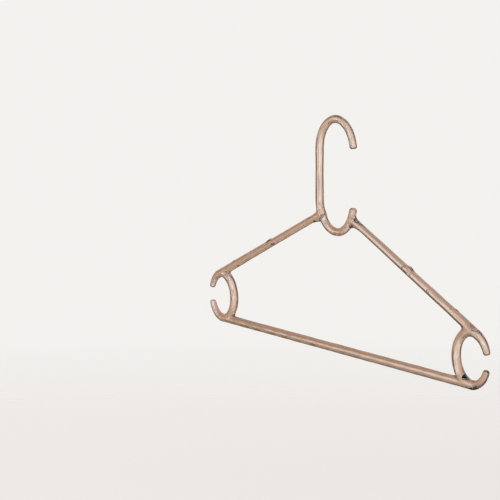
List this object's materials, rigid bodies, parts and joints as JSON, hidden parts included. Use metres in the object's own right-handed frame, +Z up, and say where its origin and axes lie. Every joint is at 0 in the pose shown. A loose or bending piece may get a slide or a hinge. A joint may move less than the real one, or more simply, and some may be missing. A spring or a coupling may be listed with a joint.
{
  "type": "clothes hanger",
  "caption": "Clear moulded clothes hanger with a fixed round rail hook, an upturned cascade hook, sloping arms, open strap rings at the ends and a straight trouser bar.",
  "frame": {"origin": "the rail seat: the middle of the underside of the main hook's crown, where the hanger hangs on a rail", "axes": "+X along the hanger's width, towards the open side of both hooks; +Y through its thickness; +Z up"},
  "size_m": [0.4292, 0.0074, 0.1991],
  "materials": {
    "clear_plastic": "clear crystal polystyrene, glossy as moulded, with a slight warm cast"
  },
  "bodies": {
    "root": {"main_hook": "clear_plastic", "stem": "clear_plastic", "cascade_hook": "clear_plastic", "left_shoulder_arm": "clear_plastic", "right_shoulder_arm": "clear_plastic", "left_arm_upper_web": "clear_plastic", "right_arm_upper_web": "clear_plastic", "left_arm_lower_web": "clear_plastic", "right_arm_lower_web": "clear_plastic", "left_ring_back": "clear_plastic", "right_ring_back": "clear_plastic", "left_ring_upper_jaw": "clear_plastic", "right_ring_upper_jaw": "clear_plastic", "left_ring_lower_jaw": "clear_plastic", "right_ring_lower_jaw": "clear_plastic", "left_ring_upper_web": "clear_plastic", "right_ring_upper_web": "clear_plastic", "left_ring_lower_web": "clear_plastic", "right_ring_lower_web": "clear_plastic", "trouser_bar": "clear_plastic"}
  },
  "joints": []
}
